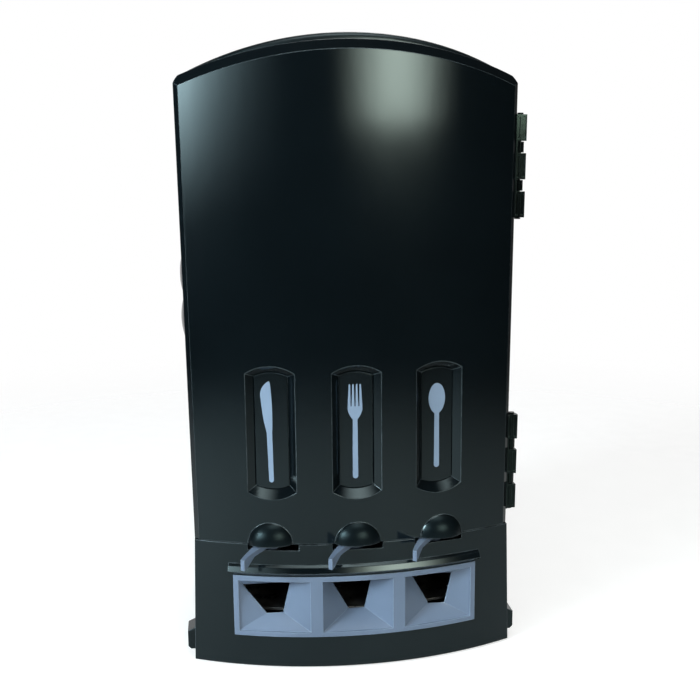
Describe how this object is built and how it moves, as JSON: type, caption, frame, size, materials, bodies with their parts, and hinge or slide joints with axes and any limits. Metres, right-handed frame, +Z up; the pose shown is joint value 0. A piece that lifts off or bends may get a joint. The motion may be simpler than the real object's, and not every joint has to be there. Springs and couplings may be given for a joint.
{
  "type": "cutlery dispenser",
  "caption": "Tall bowed-front cutlery dispenser with label pockets, sprung finger levers over funnel chutes, a hinged lockable front door and inner magazines.",
  "frame": {"origin": "on the floor under the middle of the body: midway between the sides, and midway between the bowed front's crest and the back", "axes": "+Z up; -Y is the front, with the levers; +X is on the right seen from the front, the door's hinge side"},
  "size_m": [0.3471, 0.2839, 0.6192],
  "materials": {
    "black_shell": "satin gloss moulded",
    "black_insert": "satin",
    "symbol_film": "printed film",
    "grey_plastic": "fine satin moulded",
    "magazine_plastic": "matte extruded",
    "dark_steel": "black satin paint",
    "zinc_steel": "zinc-plated",
    "slide_plastic": "natural moulded",
    "bright_steel": "bright",
    "lock_plastic": "satin gloss moulded",
    "mat_rubber": "ribbed"
  },
  "bodies": {
    "housing": {"back_housing": "black_shell", "base_housing": "black_shell", "base_plate": "black_shell", "chute_bezel": "grey_plastic", "feed_plate": "zinc_steel", "feed_plate_posts": "zinc_steel", "drive_deck": "zinc_steel", "lower_cross_rail": "zinc_steel", "upper_cross_rail": "zinc_steel", "upper_hinge_body_leaf": "dark_steel", "lower_hinge_body_leaf": "dark_steel", "upper_hinge_pin": "dark_steel", "lower_hinge_pin": "dark_steel", "hinge_screws_body": "dark_steel", "lock_rosette": "lock_plastic", "side_bumper_left": "black_shell", "side_bumper_right": "black_shell", "rubber_mat": "mat_rubber", "rail_screws": "zinc_steel", "base_screws": "zinc_steel", "magazine_knife": "magazine_plastic", "magazine_fork": "magazine_plastic", "magazine_spoon": "magazine_plastic", "slide_guide_knife": "slide_plastic", "slide_guide_fork": "slide_plastic", "slide_guide_spoon": "slide_plastic", "lever_pin_knife": "bright_steel", "lever_pin_fork": "bright_steel", "lever_pin_spoon": "bright_steel"},
    "door": {"front_door": "black_shell", "upper_hinge_door_leaf": "dark_steel", "lower_hinge_door_leaf": "dark_steel", "hinge_screws_door": "dark_steel", "strike_bracket": "zinc_steel", "window_plate_knife": "black_insert", "window_plate_fork": "black_insert", "window_plate_spoon": "black_insert", "symbol_knife": "symbol_film", "symbol_fork": "symbol_film", "symbol_spoon": "symbol_film"},
    "knife_lever": {"lever_knife": "grey_plastic", "lever_spring_knife": "bright_steel"},
    "knife_slide": {"slide_knife": "slide_plastic"},
    "fork_lever": {"lever_fork": "grey_plastic", "lever_spring_fork": "bright_steel"},
    "fork_slide": {"slide_fork": "slide_plastic"},
    "spoon_lever": {"lever_spoon": "grey_plastic", "lever_spring_spoon": "bright_steel"},
    "spoon_slide": {"slide_spoon": "slide_plastic"},
    "lock_turn_part": {"lock_core": "bright_steel", "lock_cam": "zinc_steel"},
    "latch_turn_part": {"latch_knob": "lock_plastic", "latch_cam": "zinc_steel"}
  },
  "joints": [
    {"name": "door_swing", "type": "hinge", "parent": "housing", "child": "door", "pos_m": [0.16634, -0.0746, 0.1445], "axis": [0.0102, 0, 0.9999], "range_deg": [0, 110]},
    {"name": "knife_lever_turn", "type": "hinge", "parent": "housing", "child": "knife_lever", "pos_m": [-0.083, -0.09513, 0.1195], "axis": [0, 0, 1], "range_deg": [0, 60], "stiffness_Nm_per_rad": 0.15, "springref_deg": -20.05},
    {"name": "knife_slide_push", "type": "slide", "parent": "housing", "child": "knife_slide", "axis": [0, -1, 0], "range_m": [0, 0.0141]},
    {"name": "fork_lever_turn", "type": "hinge", "parent": "housing", "child": "fork_lever", "pos_m": [0, -0.104, 0.1195], "axis": [0, 0, 1], "range_deg": [0, 60], "stiffness_Nm_per_rad": 0.15, "springref_deg": -20.05},
    {"name": "fork_slide_push", "type": "slide", "parent": "housing", "child": "fork_slide", "axis": [0, -1, 0], "range_m": [0, 0.0141]},
    {"name": "spoon_lever_turn", "type": "hinge", "parent": "housing", "child": "spoon_lever", "pos_m": [0.083, -0.09513, 0.1195], "axis": [0, 0, 1], "range_deg": [0, 60], "stiffness_Nm_per_rad": 0.15, "springref_deg": -20.05},
    {"name": "spoon_slide_push", "type": "slide", "parent": "housing", "child": "spoon_slide", "axis": [0, -1, 0], "range_m": [0, 0.0141]},
    {"name": "lock_turn", "type": "hinge", "parent": "housing", "child": "lock_turn_part", "pos_m": [-0.16309, -0.048, 0.3942], "axis": [-1, 0, 0], "range_deg": [0, 90]},
    {"name": "latch_turn", "type": "hinge", "parent": "housing", "child": "latch_turn_part", "pos_m": [-0.16265, -0.048, 0.351], "axis": [-1, 0, 0], "range_deg": [0, 90]}
  ],
  "couplings": [
    {"joint": "knife_slide_push", "follows": "knife_lever_turn", "m_per_rad": 0.01337},
    {"joint": "fork_slide_push", "follows": "fork_lever_turn", "m_per_rad": 0.01337},
    {"joint": "spoon_slide_push", "follows": "spoon_lever_turn", "m_per_rad": 0.01337}
  ]
}
